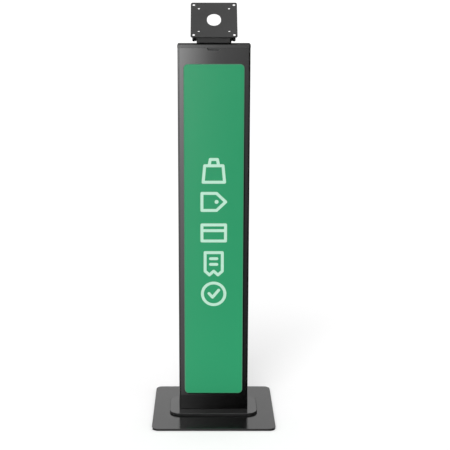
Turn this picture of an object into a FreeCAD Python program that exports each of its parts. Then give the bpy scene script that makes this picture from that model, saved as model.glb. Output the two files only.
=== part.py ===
"""Customer display floor stand: base, rectangular column with a lift-off cover, and a tilting VESA head.

Millimetres. Origin at the bottom centre of the base on the floor, +Z up, the front faces -Y.
Each function builds one physical piece, or one group of identical pieces, as one node.
"""
import FreeCAD, Part
import math
import os

from FreeCAD import Vector

# ---------------------------------------------------------------- driving dimensions
BASE_W, BASE_D, BASE_T, BASE_CORNER, BASE_EDGE = 316.0, 298.0, 5.0, 16.5, 0.6
PAD_R, PAD_PROUD, PAD_SEAT, PAD_INSET = 14.0, 1.0, 0.5, 32.0
FOOT_W, FOOT_D, FOOT_T, FOOT_CORNER, FOOT_EDGE = 230.0, 125.0, 6.0, 28.0, 1.2

COLUMN_W, COLUMN_D = 180.0, 63.0
SHEET = 2.0                           # column sheet
LIP_BEAD = 3.5                        # width of the shell's rounded front edge beside the cover
LIP_ROUND = 3.1                       # radius of that edge
LIP_INNER_X = 72.0                    # inner end of the shell's front lip
BACK_BEND = 6.0

CAP_T, CAP_WALL, CAP_TOP, CAP_PROUD = 9.0, 2.5, 2.0, 0.4
CAP_CORNER, CAP_EDGE = 4.0, 2.0
COLUMN_TOP = 965.0                    # top face of the cap

COVER_T, COVER_GAP, COVER_EDGE = 2.0, 0.3, 0.5
COVER_BACK_GAP = 0.2
COVER_FLANGE = 2.0                    # bottom return flange of the cover
NOTCH_W, NOTCH_FLOOR_W, NOTCH_DEPTH = 36.0, 30.0, 6.0

PANEL_W, PANEL_Z0, PANEL_Z1, PANEL_CORNER = 151.0, 57.0, 917.0, 11.0
PANEL_T, PANEL_BEVEL, TAPE_T = 2.2, 1.6, 0.6
MARK_T, MARK_STROKE = 0.25, 7.5
MARK_Z0, MARK_Z1 = 289.0, 692.0

PLATE_SIZE, PLATE_T, PLATE_CORNER, PLATE_EDGE = 115.4, 2.5, 5.0, 0.9
HOLE_EDGE = 0.3                       # broken edge of the plate's holes
PLATE_TILT = 45.0                     # degrees between the plate and the horizontal
VESA_SMALL, VESA_SMALL_R = 75.0, 2.75
VESA_LARGE, VESA_LARGE_R = 100.0, 3.5
CABLE_HOLE_W, CABLE_HOLE_H = 34.6, 40.4

PIVOT_Y, PIVOT_Z = 0.0, 976.3
PIVOT_BEHIND, PIVOT_BELOW = 31.25, 35.5   # from the plate's front face and from its centre
NECK_HALF_W, NECK_SHEET, NECK_BEND = 42.8, 2.8, 3.6
NECK_FRONT_Y, NECK_BACK_Y, NECK_WEB_TOP = -20.0, 21.0, 983.0
CHEEK_R, CHEEK_HEEL = 9.0, 6.0        # round end about the pivot, and height of the cheek's rear edge
SIDE_GAP = 0.3                        # between neck cheek and tilt ear
EAR_T, EAR_R = 3.0, 5.5
EAR_LOW, EAR_HIGH = -14.0, 38.0       # the ear's width where it meets the plate
STRIP_LOW, STRIP_HIGH, STRIP_T = 2.0, 13.5, 2.5
PIN_R, PIN_CLEARANCE = 2.5, 0.05
KNOB_R, KNOB_T, KNOB_EDGE, KNOB_HEEL, KNOB_SOCKET_R = 6.0, 6.8, 2.4, 1.6, 2.0

BRACE_H, BRACE_T = 30.0, 2.0
BRACE_LEVELS = {"lower_brace": 95.0, "middle_brace": 480.0, "upper_brace": 895.0}
MAGNET_X, MAGNET_W, MAGNET_H = 55.0, 20.0, 14.0
RIVET_X, RIVET_DZ = 79.0, 9.0
STIFFENER_X0, STIFFENER_X1, STIFFENER_T = 24.0, 40.0, 1.8
STIFFENER_Z0, STIFFENER_Z1 = 40.0, 940.0
BACKPLATE_X, BACKPLATE_T, BACKPLATE_H, BACKPLATE_FLANGE = 26.0, 1.5, 26.0, 6.0
BACKPLATE_SET = 9.5                   # from the cover's face to the plate behind the finger notch

# ---------------------------------------------------------------- derived levels and planes
BASE_Z0 = PAD_PROUD
FOOT_Z0 = BASE_Z0 + BASE_T
COLUMN_Z0 = FOOT_Z0 + FOOT_T
SHELL_TOP = COLUMN_TOP - CAP_T
FRONT_Y = -COLUMN_D / 2
BACK_Y = COLUMN_D / 2
SIDE_X = COLUMN_W / 2
LIP_X = SIDE_X - LIP_BEAD
COVER_BACK_Y = FRONT_Y + COVER_T
LIP_Y0 = COVER_BACK_Y + COVER_BACK_GAP
LIP_Y1 = LIP_Y0 + SHEET
INNER_X = SIDE_X - SHEET
INNER_BACK_Y = BACK_Y - SHEET
COVER_X = LIP_X - COVER_GAP
COVER_Z0 = COLUMN_Z0 + COVER_GAP
COVER_Z1 = SHELL_TOP - COVER_GAP
DECK_T = 3.0                          # column floor plate and top plate sheet
DECK_Z1 = COLUMN_TOP - CAP_TOP        # top face of the column's top plate
FLOOR_PAN_H, TOP_PAN_H = 20.0, 30.0
FIT = 0.1                             # easy fit between assembled sheet pieces
INSIDE_X = INNER_X - FIT
INSIDE_FRONT_Y = LIP_Y1 + FIT
INSIDE_BACK_Y = INNER_BACK_Y - FIT
BRACE_Y1 = LIP_Y1 + BRACE_T

FLOOR_SCREW_X, FLOOR_SCREW_Y, FLOOR_SCREW_R = 60.0, 18.0, 3.0
NECK_SCREW_X, NECK_SCREW_Y, NECK_SCREW_R = 32.0, 12.0, 2.5
NECK_WASHER_R, NECK_WASHER_T, NECK_NUT_T = 5.0, 1.0, 4.0
NECK_CENTRE_Y = (NECK_FRONT_Y + NECK_BACK_Y) / 2
CAP_SCREW_X, CAP_SCREW_Y, CAP_SCREW_R, CAP_SCREW_BITE = 72.0, 20.0, 2.0, 1.2
CABLE_SLOT_W, CABLE_SLOT_D = 34.0, 16.0
INLET_Z, INLET_R, GROMMET_WALL = 62.0, 14.0, 3.0
EARTH_X, EARTH_Z, EARTH_R, EARTH_NUT_T = 45.0, 62.0, 2.5, 4.0
CLIP_LEVELS = (200.0, 400.0, 600.0, 800.0)
BASE_SCREW_X, BASE_SCREW_Y = 85.0, 38.0
BASE_SCREW_R, BASE_SCREW_HEAD_R, BASE_SCREW_HEAD_H = 3.0, 6.0, 3.0
BASE_SCREW_Z0, BASE_SCREW_Z1 = BASE_Z0 + 0.5, COLUMN_Z0 - 1.0
MAGNET_SCREW_R = 1.5
RIVET_R, RIVET_HEAD_R = 1.6, 3.0
PIVOT_WASHER_R, PIVOT_WASHER_T = 5.2, 0.8
SPRING_H, PIVOT_NUT_T = 2.4, 5.0
CUT = 1.0                             # how far a cutting solid runs past the face it opens


# ---------------------------------------------------------------- shape helpers
def box(x0, x1, y0, y1, z0, z1):
    return Part.makeBox(x1 - x0, y1 - y0, z1 - z0, Vector(x0, y0, z0))


def rod(centre, axis, radius, length):
    return Part.makeCylinder(radius, length, Vector(*centre), Vector(*axis))


def rounded_block(width, depth, z0, z1, corner, centre_y=0.0):
    block = box(-width / 2, width / 2, centre_y - depth / 2, centre_y + depth / 2, z0, z1)
    upright = [edge for edge in block.Edges if abs(edge.tangentAt(edge.FirstParameter).z) > 0.99]
    return block.makeFillet(corner, upright)


def prism(points, height):
    """Closed outline of 3-D points, extruded along the vector height."""
    corners = [Vector(*point) for point in points]
    return Part.Face(Part.makePolygon(corners + corners[:1])).extrude(Vector(*height))


def group(solids):
    return Part.makeCompound(solids)


def corners_of(dx, dy, centre_y=0.0):
    return [(sx * dx, centre_y + sy * dy) for sx in (-1, 1) for sy in (-1, 1)]


def mirrored(shape):
    return shape.mirror(Vector(0, 0, 0), Vector(1, 0, 0))


def slot_block(width, depth, z0, z1, centre_y=0.0):
    """Upright block whose outline is a slot with full-round ends along its longer side."""
    r = min(width, depth) / 2
    dx, dy = width / 2 - r, depth / 2 - r
    half_x, half_y = (dx, r) if width > depth else (r, dy)
    middle = box(-half_x, half_x, centre_y - half_y, centre_y + half_y, z0, z1)
    ends = [rod((side * dx, centre_y + side * dy, z0), (0, 0, 1), r, z1 - z0) for side in (-1, 1)]
    return middle.fuse(ends).removeSplitter()


def level_edges(solid, z):
    """The solid's edges that lie in the horizontal plane at z."""
    return [edge for edge in solid.Edges if edge.BoundBox.ZMin > z - 0.01 and edge.BoundBox.ZMax < z + 0.01]


def hex_prism(centre, axis, across_flats, height):
    """Hexagon prism standing on centre along axis, which is 'x', 'y' or 'z'."""
    radius = across_flats / math.sqrt(3)
    points = []
    for corner in range(6):
        a = math.radians(60 * corner)
        points.append(Vector(radius * math.cos(a), radius * math.sin(a), 0))
    solid = Part.Face(Part.makePolygon(points + points[:1])).extrude(Vector(0, 0, height))
    turns = {"x": (Vector(0, 1, 0), 90), "y": (Vector(1, 0, 0), -90), "z": (Vector(0, 0, 1), 0)}
    turn_axis, angle = turns[axis]
    solid.rotate(Vector(0, 0, 0), turn_axis, angle)
    solid.translate(Vector(*centre))
    return solid


# ---------------------------------------------------------------- base and foot
def base_plate():
    plate = rounded_block(BASE_W, BASE_D, BASE_Z0, FOOT_Z0, BASE_CORNER)
    plate = plate.makeChamfer(BASE_EDGE, level_edges(plate, FOOT_Z0))
    for x, y in corners_of(BASE_W / 2 - PAD_INSET, BASE_D / 2 - PAD_INSET):
        plate = plate.cut(rod((x, y, BASE_Z0), (0, 0, 1), PAD_R, PAD_SEAT))
    recess = BASE_SCREW_Z0 - BASE_Z0
    for x, y in corners_of(BASE_SCREW_X, BASE_SCREW_Y):
        plate = plate.cut(countersunk_screw(x, y))
        plate = plate.cut(rod((x, y, BASE_Z0 - CUT), (0, 0, 1), BASE_SCREW_HEAD_R, recess + CUT))
    return plate


def floor_pads():
    pads = []
    for x, y in corners_of(BASE_W / 2 - PAD_INSET, BASE_D / 2 - PAD_INSET):
        pads.append(rod((x, y, 0), (0, 0, 1), PAD_R, PAD_PROUD + PAD_SEAT))
    return group(pads)


def countersunk_screw(x, y):
    """Flat-head screw, head sunk into the underside of the base plate and shank up into the foot."""
    neck_z = BASE_SCREW_Z0 + BASE_SCREW_HEAD_H
    head = Part.makeCone(BASE_SCREW_HEAD_R, BASE_SCREW_R, BASE_SCREW_HEAD_H, Vector(x, y, BASE_SCREW_Z0))
    shank = rod((x, y, neck_z), (0, 0, 1), BASE_SCREW_R, BASE_SCREW_Z1 - neck_z)
    return head.fuse(shank).removeSplitter()


def base_screws():
    screws = []
    for x, y in corners_of(BASE_SCREW_X, BASE_SCREW_Y):
        socket = hex_prism((x, y, BASE_SCREW_Z0), "z", 4.0, 2.0)
        screws.append(countersunk_screw(x, y).cut(socket))
    return group(screws)


def foot_plate():
    plate = rounded_block(FOOT_W, FOOT_D, FOOT_Z0, COLUMN_Z0, FOOT_CORNER)
    plate = plate.makeFillet(FOOT_EDGE, level_edges(plate, COLUMN_Z0))
    for x, y in corners_of(BASE_SCREW_X, BASE_SCREW_Y):
        plate = plate.cut(countersunk_screw(x, y))
    for x, y in corners_of(FLOOR_SCREW_X, FLOOR_SCREW_Y):
        plate = plate.cut(rod((x, y, FOOT_Z0 + CUT), (0, 0, 1), FLOOR_SCREW_R, FOOT_T))
    return plate


# ---------------------------------------------------------------- column
def back_uprights(solid, y):
    """The solid's upright edges on its back face at y."""
    return [edge for edge in solid.Edges if abs(edge.BoundBox.YMin - y) < 0.01
            and edge.BoundBox.XLength < 0.01 and edge.BoundBox.YLength < 0.01]


def column_shell():
    """Bent sheet: back, two sides, and two front lips set back behind the cover."""
    outside = box(-SIDE_X, SIDE_X, FRONT_Y, BACK_Y, COLUMN_Z0, SHELL_TOP)
    front = [edge for edge in outside.Edges if abs(edge.tangentAt(edge.FirstParameter).z) > 0.99
             and edge.BoundBox.YMax < 0]
    outside = outside.makeFillet(LIP_ROUND, front)
    outside = outside.makeFillet(BACK_BEND, back_uprights(outside, BACK_Y))
    z0, z1 = COLUMN_Z0 - CUT, SHELL_TOP + CUT
    inside = box(-INNER_X, INNER_X, LIP_Y1, INNER_BACK_Y, z0, z1)
    inside = inside.makeFillet(BACK_BEND - SHEET, back_uprights(inside, INNER_BACK_Y))
    cover_seat = box(-LIP_X, LIP_X, FRONT_Y - CUT, LIP_Y0, z0, z1)
    mouth = box(-LIP_INNER_X, LIP_INNER_X, FRONT_Y - CUT, LIP_Y1 + CUT, z0, z1)
    shell = outside.cut(inside).cut(cover_seat).cut(mouth)
    for x, z, radius in ((0, INLET_Z, INLET_R), (EARTH_X, EARTH_Z, EARTH_R)):
        shell = shell.cut(rod((x, INNER_BACK_Y - CUT, z), (0, 1, 0), radius, SHEET + 2 * CUT))
    for level in BRACE_LEVELS.values():
        for x, z in rivet_places(level):
            shell = shell.cut(rod((x, LIP_Y0 - CUT, z), (0, 1, 0), RIVET_R, SHEET + 2 * CUT))
    return shell


def pan(z_deck0, z_deck1, z_flange0, z_flange1):
    """Sheet deck that fits inside the shell, with flanges along its sides and back."""
    deck = box(-INSIDE_X, INSIDE_X, INSIDE_FRONT_Y, INSIDE_BACK_Y, z_deck0, z_deck1)
    skirt = box(-INSIDE_X, INSIDE_X, INSIDE_FRONT_Y, INSIDE_BACK_Y, z_flange0, z_flange1)
    skirt = skirt.cut(box(-INSIDE_X + DECK_T, INSIDE_X - DECK_T, INSIDE_FRONT_Y - CUT,
                          INSIDE_BACK_Y - DECK_T, z_flange0 - CUT, z_flange1 + CUT))
    solid = deck.fuse(skirt).removeSplitter()
    return solid.makeFillet(BACK_BEND - SHEET, back_uprights(solid, INSIDE_BACK_Y))


def column_floor_plate():
    plate = pan(COLUMN_Z0, COLUMN_Z0 + DECK_T, COLUMN_Z0, COLUMN_Z0 + FLOOR_PAN_H)
    for x, y in corners_of(FLOOR_SCREW_X, FLOOR_SCREW_Y):
        plate = plate.cut(rod((x, y, COLUMN_Z0 - CUT), (0, 0, 1), FLOOR_SCREW_R, DECK_T + 2 * CUT))
    return plate


def floor_plate_screws():
    screws = []
    for x, y in corners_of(FLOOR_SCREW_X, FLOOR_SCREW_Y):
        shank = rod((x, y, FOOT_Z0 + CUT), (0, 0, 1), FLOOR_SCREW_R, FOOT_T - CUT + DECK_T)
        head = hex_prism((x, y, COLUMN_Z0 + DECK_T), "z", 10.0, 4.0)
        screws.append(head.fuse(shank).removeSplitter())
    return group(screws)


def cover_ledge():
    """Angle strip on the floor plate behind the cover's bottom flange."""
    half_length, width, height, sheet = 50.0, 8.0, 12.0, 2.0
    z0 = COLUMN_Z0 + DECK_T
    y0 = INSIDE_FRONT_Y + 1
    foot = box(-half_length, half_length, y0, y0 + width, z0, z0 + sheet)
    lip = box(-half_length, half_length, y0, y0 + sheet, z0, z0 + height)
    return foot.fuse(lip).removeSplitter()


def neck_screw_places():
    return corners_of(NECK_SCREW_X, NECK_SCREW_Y, NECK_CENTRE_Y)


def cable_slot(z0, z1, grow=0.0):
    return slot_block(CABLE_SLOT_W + grow, CABLE_SLOT_D + grow, z0, z1, NECK_CENTRE_Y)


def column_top_plate():
    plate = pan(DECK_Z1 - DECK_T, DECK_Z1, DECK_Z1 - TOP_PAN_H, DECK_Z1)
    z0, height = DECK_Z1 - DECK_T - CUT, DECK_T + 2 * CUT
    plate = plate.cut(cable_slot(z0, z0 + height, 2))
    for x, y in neck_screw_places():
        plate = plate.cut(rod((x, y, z0), (0, 0, 1), NECK_SCREW_R, height))
    for x, y in corners_of(CAP_SCREW_X, CAP_SCREW_Y):
        plate = plate.cut(rod((x, y, z0), (0, 0, 1), CAP_SCREW_R, height))
    return plate


def pull_backplate():
    """Folded sheet under the top plate that closes the view through the finger notch."""
    y0 = FRONT_Y + BACKPLATE_SET
    z1 = DECK_Z1 - DECK_T
    screen = box(-BACKPLATE_X, BACKPLATE_X, y0, y0 + BACKPLATE_T, z1 - BACKPLATE_H, z1)
    flange = box(-BACKPLATE_X, BACKPLATE_X, y0, y0 + BACKPLATE_FLANGE, z1 - BACKPLATE_T, z1)
    return screen.fuse(flange).removeSplitter()


def top_cap():
    """Shallow lid: its skirt stands on the column's edges and its top rests on the top plate."""
    width, depth = COLUMN_W + 2 * CAP_PROUD, COLUMN_D + 2 * CAP_PROUD
    cap = rounded_block(width, depth, SHELL_TOP, COLUMN_TOP, CAP_CORNER)
    cap = cap.makeFillet(CAP_EDGE, level_edges(cap, COLUMN_TOP))
    cap = cap.cut(box(-INSIDE_X - FIT, INSIDE_X + FIT, FRONT_Y + CAP_WALL, INNER_BACK_Y,
                      SHELL_TOP - CUT, DECK_Z1))
    cap = cap.cut(cable_slot(DECK_Z1 - CUT, COLUMN_TOP + CUT, 2))
    for x, y in neck_screw_places():
        cap = cap.cut(rod((x, y, DECK_Z1 - CUT), (0, 0, 1), NECK_SCREW_R, CAP_TOP + 2 * CUT))
    for x, y in corners_of(CAP_SCREW_X, CAP_SCREW_Y):
        cap = cap.cut(rod((x, y, DECK_Z1 - CUT), (0, 0, 1), CAP_SCREW_R, CUT + CAP_SCREW_BITE))
    return cap


def cap_screws():
    """Pan-head screws from inside, through the top plate and into the cap."""
    head_r, head_h = 3.8, 2.2
    under = DECK_Z1 - DECK_T
    screws = []
    for x, y in corners_of(CAP_SCREW_X, CAP_SCREW_Y):
        shank = rod((x, y, under), (0, 0, 1), CAP_SCREW_R, DECK_T + CAP_SCREW_BITE)
        head = rod((x, y, under - head_h), (0, 0, 1), head_r, head_h)
        screws.append(head.fuse(shank).removeSplitter())
    return group(screws)


# ---------------------------------------------------------------- inside the column
def rivet_places(level):
    return [(side * RIVET_X, level + dz) for side in (-1, 1) for dz in (-RIVET_DZ, RIVET_DZ)]


def brace(level):
    bar = box(-INSIDE_X, INSIDE_X, LIP_Y1, BRACE_Y1, level - BRACE_H / 2, level + BRACE_H / 2)
    for x, z in rivet_places(level):
        bar = bar.cut(rod((x, LIP_Y1 - CUT, z), (0, 1, 0), RIVET_R, BRACE_T + 2 * CUT))
    for side in (-1, 1):
        hole = rod((side * MAGNET_X, LIP_Y1 - CUT, level), (0, 1, 0), MAGNET_SCREW_R, BRACE_T + 2 * CUT)
        bar = bar.cut(hole)
    return bar


def headed_pin(x, z, y0, radius, length, head_r, head_h):
    """Pin along +Y from y0, with its round head past the far end."""
    stem = rod((x, y0, z), (0, 1, 0), radius, length)
    head = rod((x, y0 + length, z), (0, 1, 0), head_r, head_h)
    return stem.fuse(head).removeSplitter()


def brace_rivets():
    rivets = []
    for level in BRACE_LEVELS.values():
        for x, z in rivet_places(level):
            rivets.append(headed_pin(x, z, LIP_Y0, RIVET_R, SHEET + BRACE_T, RIVET_HEAD_R, 1.0))
    return group(rivets)


def magnet_places():
    return [(side * MAGNET_X, level) for level in BRACE_LEVELS.values() for side in (-1, 1)]


MAGNET_SCREW_Y0 = LIP_Y0 + 0.5        # blind end of the screw inside the magnet


def cover_magnets():
    magnets = []
    for x, z in magnet_places():
        block = box(x - MAGNET_W / 2, x + MAGNET_W / 2, LIP_Y0, LIP_Y1, z - MAGNET_H / 2, z + MAGNET_H / 2)
        magnets.append(block.cut(rod((x, MAGNET_SCREW_Y0, z), (0, 1, 0), MAGNET_SCREW_R, SHEET)))
    return group(magnets)


def magnet_screws():
    screws = []
    length = BRACE_Y1 - MAGNET_SCREW_Y0
    for x, z in magnet_places():
        screws.append(headed_pin(x, z, MAGNET_SCREW_Y0, MAGNET_SCREW_R, length, 3.0, 1.6))
    return group(screws)


def cable_clips():
    """Adhesive saddle clips on the back wall that hold the display's cable."""
    foot_half, foot_t, height, arch_r, wall, mouth_half = 12.0, 2.0, 10.0, 7.5, 2.0, 2.5
    arch_y = INNER_BACK_Y - 8
    clips = []
    for level in CLIP_LEVELS:
        z0 = level - height / 2
        foot = box(-foot_half, foot_half, INNER_BACK_Y - foot_t, INNER_BACK_Y, level - 8, level + 8)
        arch = rod((0, arch_y, z0), (0, 0, 1), arch_r, height)
        bore = rod((0, arch_y, z0 - CUT), (0, 0, 1), arch_r - wall, height + 2 * CUT)
        mouth = box(-mouth_half, mouth_half, arch_y - arch_r - CUT, arch_y, z0 - CUT, z0 + height + CUT)
        clips.append(foot.fuse(arch).removeSplitter().cut(bore).cut(mouth))
    return group(clips)


def rear_grommet():
    """Round rubber edge in the cable inlet, with a flange on each side of the back wall."""
    flange_t = 1.5
    y0 = INNER_BACK_Y - flange_t
    length = SHEET + 2 * flange_t
    sleeve = rod((0, y0, INLET_Z), (0, 1, 0), INLET_R, length)
    inner = rod((0, y0, INLET_Z), (0, 1, 0), INLET_R + GROMMET_WALL, flange_t)
    outer = rod((0, BACK_Y, INLET_Z), (0, 1, 0), INLET_R + GROMMET_WALL, flange_t)
    bore = rod((0, y0 - CUT, INLET_Z), (0, 1, 0), INLET_R - GROMMET_WALL, length + 2 * CUT)
    return sleeve.fuse([inner, outer]).removeSplitter().cut(bore)


def earth_stud():
    inside_length = 12.0
    return rod((EARTH_X, INNER_BACK_Y - inside_length, EARTH_Z), (0, 1, 0), EARTH_R, inside_length + SHEET)


def earth_nut():
    y0 = INNER_BACK_Y - EARTH_NUT_T
    nut = hex_prism((EARTH_X, y0, EARTH_Z), "y", 8.0, EARTH_NUT_T)
    return nut.cut(rod((EARTH_X, y0 - CUT, EARTH_Z), (0, 1, 0), EARTH_R, EARTH_NUT_T + 2 * CUT))


# ---------------------------------------------------------------- neck
def neck_bracket():
    """Pressed bracket: front web, two cheeks that carry the pivot, and a floor screwed onto the cap."""
    z0 = COLUMN_TOP
    width = 2 * NECK_HALF_W
    side = [(NECK_FRONT_Y, z0), (NECK_BACK_Y, z0), (NECK_BACK_Y, z0 + CHEEK_HEEL),
            (PIVOT_Y + CHEEK_R, PIVOT_Z), (PIVOT_Y, PIVOT_Z + CHEEK_R), (NECK_FRONT_Y, NECK_WEB_TOP)]
    block = prism([(-NECK_HALF_W, y, z) for y, z in side], (width, 0, 0))
    block = block.fuse(pivot_rod(-NECK_HALF_W, CHEEK_R, width)).removeSplitter()
    block = block.makeFillet(NECK_BEND, front_bends(block, NECK_FRONT_Y, z0))
    inner_x, inner_y, inner_z = NECK_HALF_W - NECK_SHEET, NECK_FRONT_Y + NECK_SHEET, z0 + NECK_SHEET
    inside = box(-inner_x, inner_x, inner_y, NECK_BACK_Y + CUT, inner_z, PIVOT_Z + CHEEK_R + CUT)
    inside = inside.makeFillet(NECK_BEND - NECK_SHEET, front_bends(inside, inner_y, inner_z))
    bracket = block.cut(inside)
    bracket = bracket.cut(pivot_rod(-NECK_HALF_W - CUT, PIN_R + PIN_CLEARANCE, width + 2 * CUT))
    bracket = bracket.cut(cable_slot(z0 - CUT, z0 + NECK_SHEET + CUT, 2))
    for x, y in neck_screw_places():
        bracket = bracket.cut(rod((x, y, z0 - CUT), (0, 0, 1), NECK_SCREW_R, NECK_SHEET + 2 * CUT))
    return bracket


def front_bends(solid, y, z):
    """The edges round the solid's front face at y that reach down to z: two uprights and the foot."""
    return [edge for edge in solid.Edges if edge.BoundBox.YMax < y + 0.01 and edge.BoundBox.ZMin < z + 0.01]


def pivot_rod(x0, radius, length):
    return rod((x0, PIVOT_Y, PIVOT_Z), (1, 0, 0), radius, length)


NECK_HEAD_Z = COLUMN_TOP + NECK_SHEET + NECK_WASHER_T
NECK_NUT_Z0 = DECK_Z1 - DECK_T - NECK_NUT_T


def neck_screws():
    """Socket-head screws down through the neck's floor, the cap and the top plate."""
    head_r, head_h, thread_end = 4.2, 3.0, 2.0
    screws = []
    for x, y in neck_screw_places():
        shank = rod((x, y, NECK_NUT_Z0 - thread_end), (0, 0, 1), NECK_SCREW_R,
                    NECK_HEAD_Z - NECK_NUT_Z0 + thread_end)
        head = rod((x, y, NECK_HEAD_Z), (0, 0, 1), head_r, head_h)
        head = head.cut(hex_prism((x, y, NECK_HEAD_Z + 1.2), "z", 3.0, head_h))
        screws.append(head.fuse(shank).removeSplitter())
    return group(screws)


def neck_washers():
    washers = []
    for x, y in neck_screw_places():
        ring = rod((x, y, COLUMN_TOP + NECK_SHEET), (0, 0, 1), NECK_WASHER_R, NECK_WASHER_T)
        washers.append(ring.cut(rod((x, y, COLUMN_TOP), (0, 0, 1), NECK_SCREW_R, NECK_SHEET + 2)))
    return group(washers)


def neck_nuts():
    nuts = []
    for x, y in neck_screw_places():
        nut = hex_prism((x, y, NECK_NUT_Z0), "z", 8.0, NECK_NUT_T)
        nuts.append(nut.cut(rod((x, y, NECK_NUT_Z0 - CUT), (0, 0, 1), NECK_SCREW_R, NECK_NUT_T + 2 * CUT)))
    return group(nuts)


def neck_grommet():
    """Oval rubber edge in the cable slot through neck floor, cap and top plate."""
    collar_t, collar_grow, fit_grow, bore_shrink = 1.5, 7.0, 1.8, -2.0
    z0, z1 = DECK_Z1 - DECK_T, COLUMN_TOP + NECK_SHEET
    sleeve = cable_slot(z0 - CUT, z1 + CUT, fit_grow)
    collar = cable_slot(z1, z1 + collar_t, collar_grow)
    lower = cable_slot(z0 - collar_t, z0, collar_grow)
    bore = cable_slot(z0 - collar_t - CUT, z1 + collar_t + CUT, bore_shrink)
    return sleeve.fuse([collar, lower]).removeSplitter().cut(bore)


# ---------------------------------------------------------------- front cover
def cover_panel():
    """Flat sheet cover: rolled bottom edge with a short return flange, finger notch in its top edge."""
    roll_r = COVER_T / 2
    sheet = box(-COVER_X, COVER_X, FRONT_Y, COVER_BACK_Y, COVER_Z0 + roll_r, COVER_Z1)
    front_sides = [edge for edge in sheet.Edges if edge.BoundBox.YMax < FRONT_Y + 0.01
                   and edge.BoundBox.ZLength > COVER_T]
    sheet = sheet.makeChamfer(COVER_EDGE, front_sides)
    roll = rod((-COVER_X, FRONT_Y + roll_r, COVER_Z0 + roll_r), (1, 0, 0), roll_r, 2 * COVER_X)
    flange_x = LIP_INNER_X - 2
    flange = box(-flange_x, flange_x, FRONT_Y + roll_r, COVER_BACK_Y + COVER_FLANGE,
                 COVER_Z0, COVER_Z0 + COVER_T)
    y0, floor_z = FRONT_Y - CUT, SHELL_TOP - NOTCH_DEPTH
    notch = prism([(-NOTCH_FLOOR_W / 2, y0, floor_z), (NOTCH_FLOOR_W / 2, y0, floor_z),
                   (NOTCH_W / 2, y0, SHELL_TOP), (-NOTCH_W / 2, y0, SHELL_TOP)],
                  (0, COVER_T + 2 * CUT, 0))
    return sheet.fuse([roll, flange]).removeSplitter().cut(notch)


def cover_stiffeners():
    bar = box(STIFFENER_X0, STIFFENER_X1, COVER_BACK_Y, COVER_BACK_Y + STIFFENER_T,
              STIFFENER_Z0, STIFFENER_Z1)
    return both_sides(bar)


def panel_tape():
    """Foam tape strips between the cover and the graphic panel."""
    inset, width, side_end, cross_end = 9.0, 10.0, 30.0, 15.0
    y0 = FRONT_Y - TAPE_T
    half = PANEL_W / 2 - inset
    z0, z1 = PANEL_Z0 + inset, PANEL_Z1 - inset
    side = box(half - width, half, y0, FRONT_Y, PANEL_Z0 + side_end, PANEL_Z1 - side_end)
    low = box(-half + cross_end, half - cross_end, y0, FRONT_Y, z0, z0 + width)
    high = box(-half + cross_end, half - cross_end, y0, FRONT_Y, z1 - width, z1)
    return group([side, mirrored(side), low, high])


def graphic_panel():
    """Rounded acrylic panel with a bevelled front edge."""
    slab = rounded_block(PANEL_W, PANEL_Z1 - PANEL_Z0, 0, PANEL_T, PANEL_CORNER)
    slab = slab.makeChamfer(PANEL_BEVEL, level_edges(slab, PANEL_T))
    slab.rotate(Vector(0, 0, 0), Vector(1, 0, 0), 90)
    slab.translate(Vector(0, FRONT_Y - TAPE_T, (PANEL_Z0 + PANEL_Z1) / 2))
    return slab


MARK_Y0 = FRONT_Y - TAPE_T - PANEL_T - MARK_T


def disc(x, z, radius):
    return rod((x, MARK_Y0, z), (0, 1, 0), radius, MARK_T)


def stroke(points, closed=False):
    """Round-ended raised line through (x, z) points on the panel's face."""
    r = MARK_STROKE / 2
    path = list(points) + ([points[0]] if closed else [])
    pieces = [disc(x, z, r) for x, z in path]
    for (xa, za), (xb, zb) in zip(path, path[1:]):
        length = math.hypot(xb - xa, zb - za)
        nx, nz = -(zb - za) / length * r, (xb - xa) / length * r
        pieces.append(prism([(xa + nx, MARK_Y0, za + nz), (xb + nx, MARK_Y0, zb + nz),
                             (xb - nx, MARK_Y0, zb - nz), (xa - nx, MARK_Y0, za - nz)],
                            (0, MARK_T, 0)))
    return joined(pieces)


def joined(pieces):
    return pieces[0].fuse(pieces[1:]).removeSplitter()


def ring_mark(x, z, radius):
    hole = rod((x, MARK_Y0 - CUT, z), (0, 1, 0), radius - MARK_STROKE / 2, MARK_T + 2 * CUT)
    return disc(x, z, radius + MARK_STROKE / 2).cut(hole)


def bag_mark(z):
    body = stroke([(-27, z - 30), (27, z - 30), (23, z + 12), (-23, z + 12)], closed=True)
    handle = stroke([(-12, z + 12), (-9, z + 28), (9, z + 28), (12, z + 12)])
    return joined([body, handle])


def tag_mark(z):
    outline = stroke([(-30, z - 22), (7, z - 22), (30, z), (7, z + 22), (-30, z + 22)], closed=True)
    return group([outline, disc(7, z, 5.0)])


def card_mark(z):
    outline = stroke([(-30, z - 21), (30, z - 21), (30, z + 21), (-30, z + 21)], closed=True)
    return joined([outline, stroke([(-30, z + 6), (30, z + 6)])])


def receipt_mark(z):
    outline = stroke([(-22, z - 20), (-22, z + 29), (22, z + 29), (22, z - 20),
                      (11, z - 30), (0, z - 20), (-11, z - 30)], closed=True)
    lines = [stroke([(-8, z + dz), (8, z + dz)]) for dz in (-2, 13)]
    return group([outline] + lines)


def tick_mark(z):
    return group([ring_mark(0, z, 29), stroke([(-12, z + 1), (-3, z - 9), (13, z + 10)])])


def graphic_marks():
    """Five plain pictograms down the panel: bag, tag, card, receipt and tick."""
    marks = (bag_mark, tag_mark, card_mark, receipt_mark, tick_mark)
    pitch = (MARK_Z1 - MARK_Z0) / len(marks)
    solids = []
    for row, mark in enumerate(marks):
        solids += mark(MARK_Z1 - pitch * (row + 0.5)).Solids
    return group(solids)


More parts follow.
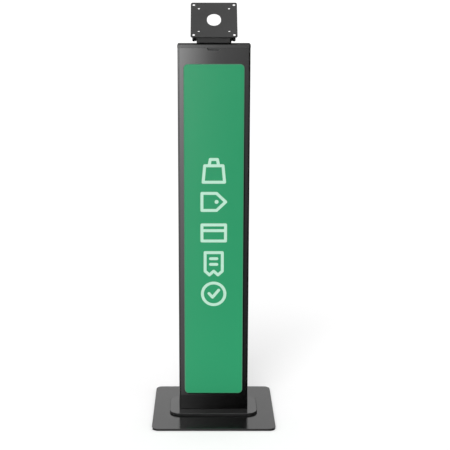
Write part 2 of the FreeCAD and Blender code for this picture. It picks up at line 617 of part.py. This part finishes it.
# ---------------------------------------------------------------- tilting head
def to_world(solid):
    """Moves a solid from plate axes (x, up the plate, out of its face) to the stand's axes.

    Plate axes have their origin on the pivot axis.
    """
    solid.rotate(Vector(0, 0, 0), Vector(1, 0, 0), PLATE_TILT)
    solid.translate(Vector(0, PIVOT_Y, PIVOT_Z))
    return solid


def within_plate(edge):
    """True where an edge in plate axes lies inside the plate's outline, as the holes' edges do."""
    reach = PLATE_SIZE / 2 - PLATE_CORNER / 2
    bounds = edge.BoundBox
    return (max(abs(bounds.XMin), abs(bounds.XMax)) < reach
            and max(abs(bounds.YMin - PIVOT_BELOW), abs(bounds.YMax - PIVOT_BELOW)) < reach)


def vesa_plate():
    """Square plate with a rounded rim, two VESA hole patterns and an oval cable hole."""
    back = PIVOT_BEHIND - PLATE_T
    plate = rounded_block(PLATE_SIZE, PLATE_SIZE, back, PIVOT_BEHIND, PLATE_CORNER, PIVOT_BELOW)
    plate = plate.makeFillet(PLATE_EDGE, level_edges(plate, PIVOT_BEHIND))
    for spacing, radius in ((VESA_SMALL, VESA_SMALL_R), (VESA_LARGE, VESA_LARGE_R)):
        for x, y in corners_of(spacing / 2, spacing / 2, PIVOT_BELOW):
            plate = plate.cut(rod((x, y, back - CUT), (0, 0, 1), radius, PLATE_T + 2 * CUT))
    hole = slot_block(CABLE_HOLE_W, CABLE_HOLE_H, back - CUT, PIVOT_BEHIND + CUT, PIVOT_BELOW)
    plate = plate.cut(hole)
    holes = [edge for edge in level_edges(plate, PIVOT_BEHIND) + level_edges(plate, back)
             if edge.BoundBox.DiagonalLength < CABLE_HOLE_H and within_plate(edge)]
    plate = plate.makeChamfer(HOLE_EDGE, holes)
    return to_world(plate)


def tilt_bracket():
    """Cross strip welded behind the plate with an ear down each side of the neck."""
    back = PIVOT_BEHIND - PLATE_T
    ear_x = NECK_HALF_W + SIDE_GAP
    strip = box(-ear_x - EAR_T, ear_x + EAR_T, STRIP_LOW, STRIP_HIGH, back - STRIP_T, back)
    ear = prism([(ear_x, -EAR_R, 0), (ear_x, EAR_R, 0), (ear_x, EAR_HIGH, back), (ear_x, EAR_LOW, back)],
                (EAR_T, 0, 0))
    ear = ear.fuse(rod((ear_x, 0, 0), (1, 0, 0), EAR_R, EAR_T))
    ear = ear.cut(rod((ear_x - CUT, 0, 0), (1, 0, 0), PIN_R, EAR_T + 2 * CUT))
    return to_world(strip.fuse([ear, mirrored(ear)]).removeSplitter())


def both_sides(solid):
    return group([solid, mirrored(solid)])


EAR_FACE_X = NECK_HALF_W + SIDE_GAP + EAR_T
KNOB_X = EAR_FACE_X + PIVOT_WASHER_T
SPRING_X = NECK_HALF_W - NECK_SHEET - 0.05    # the spring washer's wide rim, just off the cheek


def pivot_washers():
    ring = pivot_rod(EAR_FACE_X, PIVOT_WASHER_R, PIVOT_WASHER_T)
    return both_sides(ring.cut(pivot_rod(EAR_FACE_X - CUT, PIN_R, PIVOT_WASHER_T + 2 * CUT)))


def pivot_screws():
    """Round-edged heads outside each ear, with a shank through ear and cheek."""
    inner_x = SPRING_X - SPRING_H - PIVOT_NUT_T - 2
    shank = pivot_rod(inner_x, PIN_R, KNOB_X - inner_x)
    head = pivot_rod(KNOB_X, KNOB_R, KNOB_T)
    for radius, rim_x in ((KNOB_EDGE, KNOB_X + KNOB_T), (KNOB_HEEL, KNOB_X)):
        rim = [edge for edge in head.Edges if edge.BoundBox.XMin > rim_x - 0.1
               and edge.BoundBox.XMax < rim_x + 0.1]
        head = head.makeFillet(radius, rim)
    socket = pivot_rod(KNOB_X + KNOB_T / 2, KNOB_SOCKET_R, KNOB_T)
    return both_sides(shank.fuse(head).removeSplitter().cut(socket))


def spring_washers():
    """Conical spring washers that keep the tilt stiff, inside each cheek."""
    axis = Vector(1, 0, 0)
    small_r, large_r, hollow_h = 4.5, 7.0, 1.2
    cone = Part.makeCone(small_r, large_r, SPRING_H, Vector(SPRING_X - SPRING_H, PIVOT_Y, PIVOT_Z), axis)
    hollow = Part.makeCone(PIN_R, large_r - 2, hollow_h, Vector(SPRING_X - hollow_h, PIVOT_Y, PIVOT_Z), axis)
    bore = pivot_rod(SPRING_X - SPRING_H - CUT, PIN_R, SPRING_H + 2 * CUT)
    return both_sides(cone.cut(hollow).cut(bore))


def pivot_nuts():
    x0 = SPRING_X - SPRING_H - PIVOT_NUT_T
    nut = hex_prism((x0, PIVOT_Y, PIVOT_Z), "x", 10.0, PIVOT_NUT_T)
    return both_sides(nut.cut(pivot_rod(x0 - CUT, PIN_R, PIVOT_NUT_T + 2 * CUT)))


# ---------------------------------------------------------------- write one file per node
NODES = {
    "base_plate": base_plate, "floor_pads": floor_pads, "base_screws": base_screws, "foot_plate": foot_plate,
    "column_shell": column_shell, "column_floor_plate": column_floor_plate,
    "floor_plate_screws": floor_plate_screws, "cover_ledge": cover_ledge,
    "column_top_plate": column_top_plate, "pull_backplate": pull_backplate, "top_cap": top_cap,
    "cap_screws": cap_screws,
    "brace_rivets": brace_rivets, "cover_magnets": cover_magnets, "magnet_screws": magnet_screws,
    "cable_clips": cable_clips, "rear_grommet": rear_grommet, "earth_stud": earth_stud,
    "earth_nut": earth_nut, "neck_bracket": neck_bracket, "neck_screws": neck_screws,
    "neck_washers": neck_washers, "neck_nuts": neck_nuts, "neck_grommet": neck_grommet,
    "cover_panel": cover_panel, "cover_stiffeners": cover_stiffeners, "panel_tape": panel_tape,
    "graphic_panel": graphic_panel, "graphic_marks": graphic_marks, "vesa_plate": vesa_plate,
    "tilt_bracket": tilt_bracket, "pivot_washers": pivot_washers, "pivot_screws": pivot_screws,
    "spring_washers": spring_washers, "pivot_nuts": pivot_nuts,
}

os.makedirs("parts", exist_ok=True)
for node, build in NODES.items():
    build().exportStep("parts/" + node + ".step")
for node, level in BRACE_LEVELS.items():
    brace(level).exportStep("parts/" + node + ".step")
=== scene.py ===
"""Looks for the customer display floor stand: materials, studio and camera."""
import math

import bpy
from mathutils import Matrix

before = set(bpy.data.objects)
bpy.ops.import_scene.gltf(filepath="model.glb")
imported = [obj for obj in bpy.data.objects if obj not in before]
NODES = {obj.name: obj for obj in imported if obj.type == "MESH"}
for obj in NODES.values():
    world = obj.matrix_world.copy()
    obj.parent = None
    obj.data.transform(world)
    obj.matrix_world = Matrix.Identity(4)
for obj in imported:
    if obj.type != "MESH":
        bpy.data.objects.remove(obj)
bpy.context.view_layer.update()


# ---------------------------------------------------------------- small helpers
def grey(level):
    return (level, level, level, 1.0)


def extent(name):
    """Lowest and highest place of a piece along x, y and z, in metres."""
    places = [vertex.co for vertex in NODES[name].data.vertices]
    return [(min(p[axis] for p in places), max(p[axis] for p in places)) for axis in range(3)]


# Noise runs in features per metre. The patches come from the middle of its range.
PATCH_ROUGHNESS = 0.55
PATCH_EDGES = (0.3, 0.7)


class Graph:
    """A node tree with short calls for the nodes used here. Values may be sockets or plain numbers."""

    def __init__(self, tree):
        self.tree = tree

    def add(self, kind, **values):
        node = self.tree.nodes.new(kind)
        for key, value in values.items():
            setattr(node, key, value)
        return node

    def link(self, source, target):
        self.tree.links.new(source, target)

    def feed(self, socket, value):
        if hasattr(value, "links"):
            self.link(value, socket)
        else:
            socket.default_value = value

    def math(self, operation, first, second=0.0):
        node = self.add("ShaderNodeMath", operation=operation)
        self.feed(node.inputs[0], first)
        self.feed(node.inputs[1], second)
        return node.outputs[0]

    def product(self, first, *others):
        for other in others:
            first = self.math("MULTIPLY", first, other)
        return first

    def decay(self, value, rate):
        """e to the power of the value times the rate."""
        return self.math("POWER", math.e, self.math("MULTIPLY", value, rate))

    def split(self, vector):
        node = self.add("ShaderNodeSeparateXYZ")
        self.link(vector, node.inputs[0])
        return node.outputs

    def ramp(self, source, edges, levels=(0.0, 1.0), curve="LINEAR"):
        """Level that changes from the first to the second as the source goes from edge to edge."""
        node = self.add("ShaderNodeMapRange", interpolation_type=curve)
        for key, value in zip(("From Min", "From Max", "To Min", "To Max"), (*edges, *levels)):
            self.feed(node.inputs[key], value)
        self.link(source, node.inputs["Value"])
        return node.outputs["Result"]

    def ease(self, source, edges, levels=(0.0, 1.0)):
        """The same with soft ends."""
        return self.ramp(source, edges, levels, "SMOOTHSTEP")

    def mix(self, factor, first, second):
        node = self.add("ShaderNodeMix", data_type="RGBA")
        self.link(factor, node.inputs["Factor"])
        self.feed(node.inputs["A"], first)
        self.feed(node.inputs["B"], second)
        return node.outputs["Result"]

    def blend(self, factor, first, second):
        """Mix of two plain levels."""
        node = self.add("ShaderNodeMix")
        self.link(factor, node.inputs["Factor"])
        self.feed(node.inputs["A"], first)
        self.feed(node.inputs["B"], second)
        return node.outputs["Result"]


class Shader(Graph):
    """A material built on one Principled shader, with its textures in the object's own place."""

    def __init__(self, name):
        self.material = bpy.data.materials.new(name)
        self.material.use_nodes = True
        super().__init__(self.material.node_tree)
        self.surface = self.tree.nodes["Principled BSDF"]
        self.place = self.add("ShaderNodeTexCoord").outputs["Object"]

    def set(self, **values):
        for key, value in values.items():
            self.surface.inputs[key.replace("_", " ")].default_value = value

    def drive(self, socket, value):
        self.link(value, self.surface.inputs[socket])

    def driver_of(self, socket):
        return self.surface.inputs[socket].links[0].from_socket

    def noise(self, scale, detail=2.0, roughness=0.5, stretch=None):
        texture = self.add("ShaderNodeTexNoise")
        texture.inputs["Scale"].default_value = scale
        texture.inputs["Detail"].default_value = detail
        texture.inputs["Roughness"].default_value = roughness
        place = self.place
        if stretch:
            mapping = self.add("ShaderNodeMapping")
            mapping.inputs["Scale"].default_value = stretch
            self.link(place, mapping.inputs["Vector"])
            place = mapping.outputs["Vector"]
        self.link(place, texture.inputs["Vector"])
        return texture.outputs["Fac"]

    def patches(self, scale, detail=3.0, levels=(0.0, 1.0), stretch=None):
        """Soft uneven patches between two levels."""
        return self.ramp(self.noise(scale, detail, PATCH_ROUGHNESS, stretch), PATCH_EDGES, levels)

    def grain(self, scale, depth, detail=2.0):
        node = self.add("ShaderNodeBump")
        node.inputs["Distance"].default_value = depth
        node.inputs["Strength"].default_value = 1.0
        self.link(self.noise(scale, detail), node.inputs["Height"])
        self.drive("Normal", node.outputs["Normal"])

    def facing(self, axis):
        """How far the surface faces along an axis: 0 is x, 1 is y, 2 is z."""
        return self.split(self.add("ShaderNodeNewGeometry").outputs["True Normal"])[axis]


# ---------------------------------------------------------------- black coats
COAT_IOR = 1.5
HANDLING = dict(scale=9.0, detail=4.0)        # broad faint marks of handling
HANDLING_PALER = 1.5                          # how much paler they are than the coat
UNEVEN_GLOSS = dict(scale=26.0, detail=5.0, stretch=(1.0, 1.0, 0.35))

# Each coat: its grey level, range of roughness, specular level, and grain per metre and in metres.
GLOSSY = dict(level=0.0010, rough=(0.05, 0.08), specular=0.5, grain=700.0, depth=0.000003)
CAP = dict(level=0.0170, rough=(0.08, 0.12), specular=0.31, grain=800.0, depth=0.000004)
BASE = dict(level=0.0150, rough=(0.14, 0.18), specular=0.54, grain=900.0, depth=0.000005)
FOOT = dict(level=0.0016, rough=(0.09, 0.13), specular=0.57, grain=900.0, depth=0.000005)
SATIN = dict(level=0.0160, rough=(0.36, 0.44), specular=0.35, grain=1100.0, depth=0.000014)
NECK = dict(SATIN, level=0.0100, specular=0.20)

# The upward faces of the flat plates: their grey levels, which are painted shade on the cap and base and
# painted light on the foot, and how much duller the foot plate's rim is.
CAP_TOP_PAINTED_SHADE, BASE_TOP_PAINTED_SHADE, FOOT_TOP_PAINTED_LIGHT = 0.0012, 0.0060, 0.0150
FOOT_RIM_DULLNESS = 0.8
UPWARD = (0.35, 0.70)                 # from rim to top, by how far the face turns up

SHELL_SKIN, SHELL_LIP_SKIN = 0.0012, 0.0015   # outer coat of the column, deeper on its front lips
# the inside's grey level is partly a thinner coat and partly painted light, so the shaded inside shows
SHELL_INSIDE_PAINTED_LIGHT, SHELL_INSIDE_DULLNESS = 0.032, 0.3

PAINTED_SHADOW_WIDTH = 0.0023                  # the panel's painted shadow on the cover, in metres
PAINTED_SHADOW_EDGE = (-0.0003, 0.0006)        # from full painted shadow to none, across its outline
PAINTED_SHADOW_TOP = (0.60, 0.95)              # heights over which the painted shadow fades out
PANEL_CORNER = 0.011                  # radius of the graphic panel's corners


def coat_colour(s, level):
    return s.mix(s.patches(**HANDLING), grey(level), grey(level * HANDLING_PALER))


def coat_shader(name, level, rough, specular, grain, depth):
    """Black powder coat: fine orange-peel grain, uneven gloss and faint handling marks."""
    s = Shader(name)
    s.set(Metallic=0.0, IOR=COAT_IOR, Specular_IOR_Level=specular)
    s.drive("Base Color", coat_colour(s, level))
    s.drive("Roughness", s.patches(levels=rough, **UNEVEN_GLOSS))
    s.grain(grain, depth)
    return s


def coated_steel(name, coat):
    return coat_shader(name, **coat).material


def recoat(s, where, level):
    """Change the coat's colour where the mask is one."""
    s.drive("Base Color", s.mix(where, s.driver_of("Base Color"), coat_colour(s, level)))


def roughen(s, where, extra):
    """Make the coat duller where the mask is one."""
    rough = s.math("ADD", s.driver_of("Roughness"), s.product(where, extra))
    s.drive("Roughness", s.math("MINIMUM", rough, 1.0))


def plate_coat(name, coat, top_painted_level, rim_dullness=0.0):
    """Coat of a flat plate whose upward face has its own grey level, painted light and shade for how
    light falls on the top against the rim.
    """
    s = coat_shader(name, **coat)
    top = s.ramp(s.facing(2), UPWARD)
    # painted light and shade: the upward face gets its own grey level
    recoat(s, top, top_painted_level)
    if rim_dullness:
        roughen(s, s.math("SUBTRACT", 1.0, top), rim_dullness)
    return s.material


def shell_coat(name, coat):
    """Coat of the column: the inside gets a duller, paler layer; the paler colour is partly its thinner
    coat and partly painted light, so the shaded inside still shows.
    """
    s = coat_shader(name, **coat)
    (_, side), (front, back), _ = extent("column_shell")
    x, y, _ = s.split(s.place)
    inside = s.product(s.math("LESS_THAN", s.math("ABSOLUTE", x), side - SHELL_SKIN),
                       s.math("GREATER_THAN", y, front + SHELL_LIP_SKIN),
                       s.math("LESS_THAN", y, back - SHELL_SKIN))
    # the paler inside is partly painted light
    recoat(s, inside, SHELL_INSIDE_PAINTED_LIGHT)
    roughen(s, inside, SHELL_INSIDE_DULLNESS)
    return s.material


def cover_with_painted_shadow(name, coat):
    """Coat of the cover, with a painted shadow: dead black in a thin line to the right of the graphic
    panel and below it.
    """
    s = coat_shader(name, **coat)
    (_, half_width), _, (foot, head) = extent("graphic_panel")
    x, _, z = s.split(s.place)

    def past(place, middle, half):
        """Square of the distance past the straight part of one side."""
        offset = s.math("ABSOLUTE", s.math("SUBTRACT", place, middle))
        beyond = s.math("MAXIMUM", s.math("SUBTRACT", offset, half - PANEL_CORNER), 0.0)
        return s.product(beyond, beyond)

    # the painted shadow is the panel's outline, moved right and down by the shadow's width
    height = (foot + head) / 2 - PAINTED_SHADOW_WIDTH
    squares = s.math("ADD", past(x, PAINTED_SHADOW_WIDTH, half_width), past(z, height, (head - foot) / 2))
    outside = s.math("SUBTRACT", s.math("SQRT", squares), PANEL_CORNER)
    painted_shadow = s.ramp(outside, PAINTED_SHADOW_EDGE, (1.0, 0.0))
    lower_down = s.ramp(z, PAINTED_SHADOW_TOP, (1.0, 0.0))
    # painted shadow: a metal of this near-black colour reflects almost nothing, so the line stays dark
    # from any side
    s.drive("Metallic", s.product(painted_shadow, lower_down))
    return s.material


# ---------------------------------------------------------------- other materials
GREEN_IOR, GREEN_SPECULAR = 1.46, 0.14
GREEN_TINT = dict(scale=5.0)
GREEN_GLOSS = dict(scale=40.0, detail=4.0, levels=(0.10, 0.15))
GREEN_GRAIN = dict(scale=2600.0, depth=0.000012, detail=1.0)
GREEN_FACE = (0.0178, 0.231, 0.1000, 1.0)
GREEN_FACE_PALE = (0.0190, 0.238, 0.1035, 1.0)
GREEN_FOOT_PAINTED_LIGHT = (0.0310, 0.322, 0.1450, 1.0)     # painted light: the green is paler towards the floor, making up for the floor light the base keeps off the panel's foot
GREEN_PAINTED_LIGHT_FADE = 4.5                              # per metre of height, how fast that painted light fades upwards
# painted highlight: the bevel's paler rim colour, stronger towards the floor
GREEN_BEVEL_HIGHLIGHT = (0.060, 0.196, 0.114, 1.0)
GREEN_BEVEL_HIGHLIGHT_FOOT = (0.150, 0.360, 0.230, 1.0)
GREEN_BEVEL_FACING = (-0.98, -0.85)           # from the flat front to the bevel

INK_IOR, INK_SPECULAR = 1.45, 0.3
INK_TINT = dict(scale=60.0)
INK_GLOSS = dict(scale=300.0, detail=2.0, levels=(0.42, 0.55))
INK_GRAIN = dict(scale=3000.0, depth=0.00001, detail=1.0)
MINT = (0.393, 0.620, 0.492, 1.0)
MINT_PALE = (0.413, 0.640, 0.512, 1.0)

ZINC = (0.30, 0.31, 0.33, 1.0)
NICKEL = (0.62, 0.61, 0.58, 1.0)
BRASS = (0.72, 0.50, 0.20, 1.0)
OXIDE = (0.013, 0.013, 0.014, 1.0)
METAL_SHADE = 0.78                            # darker patches of a bare metal
SPANGLE_DETAIL = 4.0
HAIRLINES = dict(scale=500.0, stretch=(1.0, 1.0, 0.06))
METAL_GRAIN = dict(scale=900.0, depth=0.00001)

MOULD_IOR = 1.48
MOULD_TINT = dict(scale=120.0)
MOULD_GLOSS = dict(scale=400.0, detail=2.0)
MOULD_GRAIN_SCALE = 2200.0
MOULD_PALER, MOULD_LIFT = 1.6, 0.002          # the paler patches


def green_acrylic():
    """Satin green panel; its polished bevel has a painted highlight in a paler rim colour, and the green
    is painted paler towards the floor as painted light.
    """
    s = Shader("green_acrylic")
    s.set(Metallic=0.0, IOR=GREEN_IOR, Specular_IOR_Level=GREEN_SPECULAR)
    bevel = s.ramp(s.facing(1), GREEN_BEVEL_FACING)
    face = s.mix(s.patches(**GREEN_TINT), GREEN_FACE, GREEN_FACE_PALE)
    # painted light: the green turns paler towards the floor
    painted_light_near_floor = s.decay(s.split(s.place)[2], -GREEN_PAINTED_LIGHT_FADE)
    face = s.mix(painted_light_near_floor, face, GREEN_FOOT_PAINTED_LIGHT)
    # painted highlight: the bevel takes the paler rim colour
    s.drive("Base Color", s.mix(bevel, face, s.mix(painted_light_near_floor, GREEN_BEVEL_HIGHLIGHT, GREEN_BEVEL_HIGHLIGHT_FOOT)))
    s.drive("Roughness", s.patches(**GREEN_GLOSS))
    s.grain(**GREEN_GRAIN)
    return s.material


def mint_ink():
    s = Shader("mint_ink")
    s.set(Metallic=0.0, IOR=INK_IOR, Specular_IOR_Level=INK_SPECULAR)
    s.drive("Base Color", s.mix(s.patches(**INK_TINT), MINT, MINT_PALE))
    s.drive("Roughness", s.patches(**INK_GLOSS))
    s.grain(**INK_GRAIN)
    return s.material


def bare_metal(name, color, rough, spangle):
    """Plated or plain metal with a faint spangle and long hairline scratches."""
    s = Shader(name)
    s.set(Metallic=1.0)
    dark = tuple(c * METAL_SHADE for c in color[:3]) + (1.0,)
    s.drive("Base Color", s.mix(s.patches(spangle, SPANGLE_DETAIL), dark, color))
    s.drive("Roughness", s.patches(levels=rough, **HAIRLINES))
    s.grain(**METAL_GRAIN)
    return s.material


def moulded(name, level, rough, depth):
    """Rubber, foam or nylon: dull, with a fine moulded grain."""
    s = Shader(name)
    s.set(Metallic=0.0, IOR=MOULD_IOR)
    paler = grey(level * MOULD_PALER + MOULD_LIFT)
    s.drive("Base Color", s.mix(s.patches(**MOULD_TINT), grey(level), paler))
    s.drive("Roughness", s.patches(levels=rough, **MOULD_GLOSS))
    s.grain(MOULD_GRAIN_SCALE, depth)
    return s.material


def assign(material, *names):
    for name in names:
        node = NODES[name]
        node.data.materials.clear()
        node.data.materials.append(material)


def dress_nodes():
    assign(shell_coat("gloss_black_coat", GLOSSY), "column_shell")
    assign(cover_with_painted_shadow("cover_black_coat", GLOSSY), "cover_panel")
    assign(plate_coat("cap_black_coat", CAP, CAP_TOP_PAINTED_SHADE), "top_cap")
    assign(plate_coat("base_black_coat", BASE, BASE_TOP_PAINTED_SHADE), "base_plate")
    assign(plate_coat("foot_black_coat", FOOT, FOOT_TOP_PAINTED_LIGHT, FOOT_RIM_DULLNESS), "foot_plate")
    assign(coated_steel("satin_black_coat", SATIN),
           "vesa_plate", "tilt_bracket", "column_floor_plate", "column_top_plate", "pull_backplate",
           "cover_stiffeners")
    assign(coated_steel("neck_black_coat", NECK), "neck_bracket")
    assign(green_acrylic(), "graphic_panel")
    assign(mint_ink(), "graphic_marks")
    assign(bare_metal("zinc_plate", ZINC, rough=(0.42, 0.56), spangle=140.0),
           "lower_brace", "middle_brace", "upper_brace", "cover_ledge", "brace_rivets", "magnet_screws",
           "neck_screws", "neck_washers", "neck_nuts", "cap_screws", "floor_plate_screws", "base_screws",
           "spring_washers", "pivot_nuts")
    assign(bare_metal("nickel_magnet", NICKEL, rough=(0.16, 0.26), spangle=60.0), "cover_magnets")
    assign(bare_metal("earth_brass", BRASS, rough=(0.22, 0.36), spangle=200.0), "earth_stud", "earth_nut")
    assign(bare_metal("black_oxide", OXIDE, rough=(0.30, 0.42), spangle=300.0),
           "pivot_screws", "pivot_washers")
    assign(moulded("black_rubber", level=0.012, rough=(0.6, 0.8), depth=0.00003),
           "floor_pads", "rear_grommet", "neck_grommet")
    assign(moulded("foam_tape", level=0.020, rough=(0.8, 0.95), depth=0.00006), "panel_tape")
    assign(moulded("clip_nylon", level=0.020, rough=(0.4, 0.55), depth=0.00002), "cable_clips")


# ---------------------------------------------------------------- studio
FLOOR_HALF = 14.0
FLOOR_WHITE, FLOOR_ROUGH, FLOOR_IOR = 0.90, 0.9, 1.1
ROOM_SEEN = 1.1                       # what the camera sees behind the floor's edge
ROOM_FILL = 0.89                      # soft light from all round on matt surfaces
KEY_STRENGTH = 1.35
KEY_SPREAD = 30.0                     # degrees
KEY_HEIGHT, KEY_LEFT = 43.0, 12.0     # degrees above level, and left of straight in front

# What glossy faces see in front, as a soft card. Across and rise are slopes: sideways or upwards
# over forwards. It fills the directions that are level enough and forward enough.
FRONT_REACH = (-0.60, -0.35)
FRONT_CEILING = (0.45, 0.65)
LEAST_FORWARD = 0.02
BRIGHT, BRIGHT_EDGES = 9.2, (-0.046, 0.016)
FAR_LEFT_SHARE, FAR_LEFT_EDGES = 0.25, (-1.2, -0.3)
DIM, DIM_EDGES = 1.95, (0.020, 0.110)
DIM_FOOT, DIM_HEAD = (-0.40, -0.37), (0.10, 0.25)
CARD_FOOT = (-0.416, -0.398)
CARD_FADE, CARD_FADE_HEAD = 4.6, -0.05        # rate of fading towards the floor, and where it begins
HIGH_SHARE, HIGH_EDGES = 0.75, (0.05, 0.25)

# What they see elsewhere, by direction: x to the right, y backwards, z up.
LOW_LEFT, LOW_RIGHT, LOW_EDGES = 0.13, 0.035, (-0.03, 0.03)
LOW_FOOT_SHARE, LOW_FOOT_EDGES = 0.3, (0.0, 0.05)
WALL_EDGES = (0.14, 0.34)
WALL_LEVELS, WALL_HEIGHTS = (0.95, 1.40), (0.4, 0.9)
DARK_RIGHT = (0.12, 0.30)
BEHIND_EDGES = (0.25, 0.60)
BEHIND_LEVELS, BEHIND_SIDES = (3.2, 1.2), (-0.9, 0.9)
UNDER_EDGES = (-0.05, -0.40)


def studio_floor():
    """Large pale floor. Glossy faces don't mirror it, so the black coat stays deep near the ground."""
    bpy.ops.mesh.primitive_plane_add(size=2 * FLOOR_HALF, location=(0, 0, 0))
    floor = bpy.context.object
    floor.name = "studio_floor"
    s = Shader("studio_white")
    s.set(Base_Color=grey(FLOOR_WHITE), Roughness=FLOOR_ROUGH, IOR=FLOOR_IOR)
    floor.data.materials.append(s.material)
    floor.visible_glossy = False


def front_card(g, x, forward, z):
    """Soft card in front: bright on the left, dim on the right, fading towards the floor."""
    across = g.math("DIVIDE", x, forward)
    rise = g.math("DIVIDE", z, forward)
    fade = g.decay(g.math("MINIMUM", rise, CARD_FADE_HEAD), CARD_FADE)
    bright = g.product(g.ease(across, BRIGHT_EDGES, (BRIGHT, 0.0)),
                       g.ease(across, FAR_LEFT_EDGES, (FAR_LEFT_SHARE, 1.0)))
    dim = g.product(g.ease(across, DIM_EDGES, (DIM, 0.0)),
                    g.ease(rise, DIM_FOOT), g.ease(rise, DIM_HEAD, (1.0, 0.0)))
    ends = g.product(g.ease(rise, CARD_FOOT), g.ease(rise, HIGH_EDGES, (1.0, HIGH_SHARE)))
    return g.product(g.math("ADD", bright, dim), fade, ends)


def room_behind(g, x, y, z):
    """Dark band level with the stand's top, pale wall above it, soft light behind and below."""
    low = g.product(g.ease(x, LOW_EDGES, (LOW_LEFT, LOW_RIGHT)),
                    g.ease(z, LOW_FOOT_EDGES, (LOW_FOOT_SHARE, 1.0)))
    wall = g.product(g.ease(z, WALL_EDGES), g.ramp(z, WALL_HEIGHTS, WALL_LEVELS))
    upper = g.product(g.math("ADD", low, wall), g.ease(x, DARK_RIGHT, (1.0, 0.0)))
    under = g.product(g.ease(y, BEHIND_EDGES), g.ramp(x, BEHIND_SIDES, BEHIND_LEVELS),
                      g.ease(z, UNDER_EDGES))
    return g.math("ADD", upper, under)


def studio_world():
    """White room that glossy faces see as soft cards and matt faces as even light."""
    world = bpy.data.worlds.new("studio")
    bpy.context.scene.world = world
    world.use_nodes = True
    world.cycles.sampling_method = "NONE"
    g = Graph(world.node_tree)
    x, y, z = g.split(g.add("ShaderNodeTexCoord").outputs["Generated"])
    forward = g.math("MAXIMUM", g.math("MULTIPLY", y, -1.0), LEAST_FORWARD)
    in_front = g.product(g.ease(y, FRONT_REACH, (1.0, 0.0)), g.ease(z, FRONT_CEILING, (1.0, 0.0)))
    mirrored = g.blend(in_front, room_behind(g, x, y, z), front_card(g, x, forward, z))
    ray = g.add("ShaderNodeLightPath").outputs
    level = g.blend(ray["Is Glossy Ray"], ROOM_FILL, mirrored)
    background = world.node_tree.nodes["Background"]
    g.link(g.blend(ray["Is Camera Ray"], level, ROOM_SEEN), background.inputs["Strength"])
    background.inputs["Color"].default_value = grey(1.0)


def studio_lights():
    """One broad soft light high in front, a little to the left."""
    light = bpy.data.lights.new("key", "SUN")
    light.energy = KEY_STRENGTH
    light.angle = math.radians(KEY_SPREAD)
    lamp = bpy.data.objects.new("key", light)
    bpy.context.scene.collection.objects.link(lamp)
    lamp.rotation_euler = (math.radians(90 - KEY_HEIGHT), 0, math.radians(-KEY_LEFT))
    lamp.visible_glossy = False


# ---------------------------------------------------------------- camera
CAMERA_PLACE = (-0.0197, -2.681, 1.098)
CAMERA_PITCH = 12.5                   # degrees below level
CAMERA_LENS = 85.28
CAMERA_SENSOR = 36.0
CAMERA_SHIFT = 0.0422
CAMERA_REACH = 100.0


def camera():
    data = bpy.data.cameras.new("camera")
    data.lens = CAMERA_LENS
    data.sensor_width = CAMERA_SENSOR
    data.shift_x = CAMERA_SHIFT
    data.clip_end = CAMERA_REACH
    view = bpy.data.objects.new("camera", data)
    bpy.context.scene.collection.objects.link(view)
    view.location = CAMERA_PLACE
    view.rotation_euler = (math.radians(90 - CAMERA_PITCH), 0, 0)
    bpy.context.scene.camera = view


dress_nodes()
studio_floor()
studio_world()
studio_lights()
camera()
bpy.context.scene.view_settings.view_transform = "Standard"
